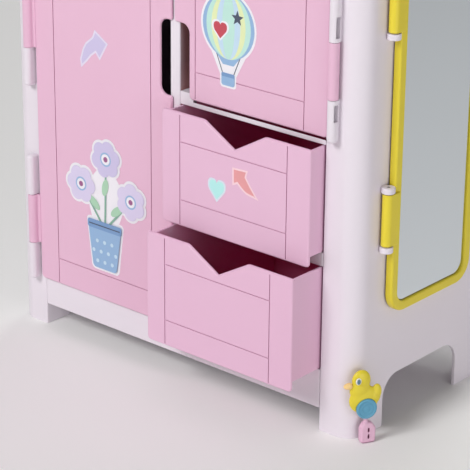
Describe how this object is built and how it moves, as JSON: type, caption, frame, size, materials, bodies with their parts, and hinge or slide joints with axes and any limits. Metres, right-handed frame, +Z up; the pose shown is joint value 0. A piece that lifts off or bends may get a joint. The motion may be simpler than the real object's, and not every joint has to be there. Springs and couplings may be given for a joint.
{
  "type": "doll wardrobe",
  "caption": "Free-standing plastic doll wardrobe with a tall door over a hanging space, a short door over pull-out drawers, and a hinged side mirror.",
  "frame": {"origin": "centre of the object's box, on the surface that it stands on", "axes": "+Z up, front faces -Y, +X to the right seen from the front"},
  "size_m": [0.429, 0.2358, 0.588],
  "materials": {
    "pink_plastic": "moulded, satin, light pink",
    "white_plastic": "moulded, satin, pinkish white",
    "yellow_plastic": "moulded, satin, lemon yellow",
    "orange_plastic": "moulded, glossy, light orange",
    "blue_plastic": "moulded, glossy, sky blue",
    "eye_white": "pad-printed white disc",
    "eye_dark": "pad-printed dark dot",
    "sticker_vinyl": "printed vinyl sticker, slightly glossy",
    "mirror_film": "silvered plastic sheet",
    "steel": "plain steel wire pins and pan-head screws"
  },
  "bodies": {
    "cabinet": {"side_panel_left": "white_plastic", "side_panel_right": "white_plastic", "back_panel": "white_plastic", "plinth_rail": "white_plastic", "floor_panel": "white_plastic", "centre_divider": "white_plastic", "drawer_board": "white_plastic", "middle_shelf": "white_plastic", "top_rail": "white_plastic", "ceiling_panel": "white_plastic", "top_panel": "white_plastic", "back_screw_left_1": "steel", "back_screw_left_2": "steel", "back_screw_left_3": "steel", "back_screw_right_1": "steel", "back_screw_right_2": "steel", "back_screw_right_3": "steel", "left_door_pin_lower": "steel", "left_door_pin_middle": "steel", "left_door_pin_upper": "steel", "right_door_pin_lower": "steel", "right_door_pin_upper": "steel", "door_catch_left": "white_plastic", "door_catch_right": "white_plastic", "hanging_rail": "white_plastic", "rail_socket_left": "white_plastic", "rail_socket_right": "white_plastic", "inner_shelf": "white_plastic", "shelf_ledge_left": "white_plastic", "shelf_ledge_right": "white_plastic", "mirror_pin_lower": "steel", "mirror_pin_upper": "steel", "mirror_lug_lower_bottom": "white_plastic", "mirror_lug_lower_top": "white_plastic", "mirror_lug_upper_bottom": "white_plastic", "mirror_lug_upper_top": "white_plastic", "duck_body": "yellow_plastic", "duck_beak": "orange_plastic", "duck_eye": "eye_white", "duck_pupil": "eye_dark", "duck_disc": "blue_plastic", "duck_foot": "pink_plastic", "duck_peg": "white_plastic"},
    "left_door": {"left_door": "pink_plastic", "sticker_arrow_lilac": "sticker_vinyl", "sticker_flowerpot": "sticker_vinyl"},
    "right_door": {"right_door": "pink_plastic", "sticker_balloon": "sticker_vinyl"},
    "upper_drawer": {"upper_drawer_front": "pink_plastic", "upper_drawer_box": "pink_plastic", "sticker_heart_mint": "sticker_vinyl", "sticker_arrow_coral": "sticker_vinyl"},
    "lower_drawer": {"lower_drawer_front": "pink_plastic", "lower_drawer_box": "pink_plastic"},
    "side_mirror": {"mirror_frame": "yellow_plastic", "mirror_glass": "mirror_film"}
  },
  "joints": [
    {"name": "left_door_hinge", "type": "hinge", "parent": "cabinet", "child": "left_door", "pos_m": [-0.18498, -0.0849, 0.303], "axis": [0, 0, 1], "range_deg": [-110, 0]},
    {"name": "right_door_hinge", "type": "hinge", "parent": "cabinet", "child": "right_door", "pos_m": [0.17203, -0.0849, 0.4138], "axis": [0, 0, 1], "range_deg": [0, 110]},
    {"name": "upper_drawer_slide", "type": "slide", "parent": "cabinet", "child": "upper_drawer", "axis": [0, -1, 0], "range_m": [-0.0147, 0.1153]},
    {"name": "lower_drawer_slide", "type": "slide", "parent": "cabinet", "child": "lower_drawer", "axis": [0, -1, 0], "range_m": [-0.0348, 0.0952]},
    {"name": "side_mirror_hinge", "type": "hinge", "parent": "cabinet", "child": "side_mirror", "pos_m": [0.20413, -0.0476, 0.292], "axis": [0, 0, 1], "range_deg": [-120, 0]}
  ]
}
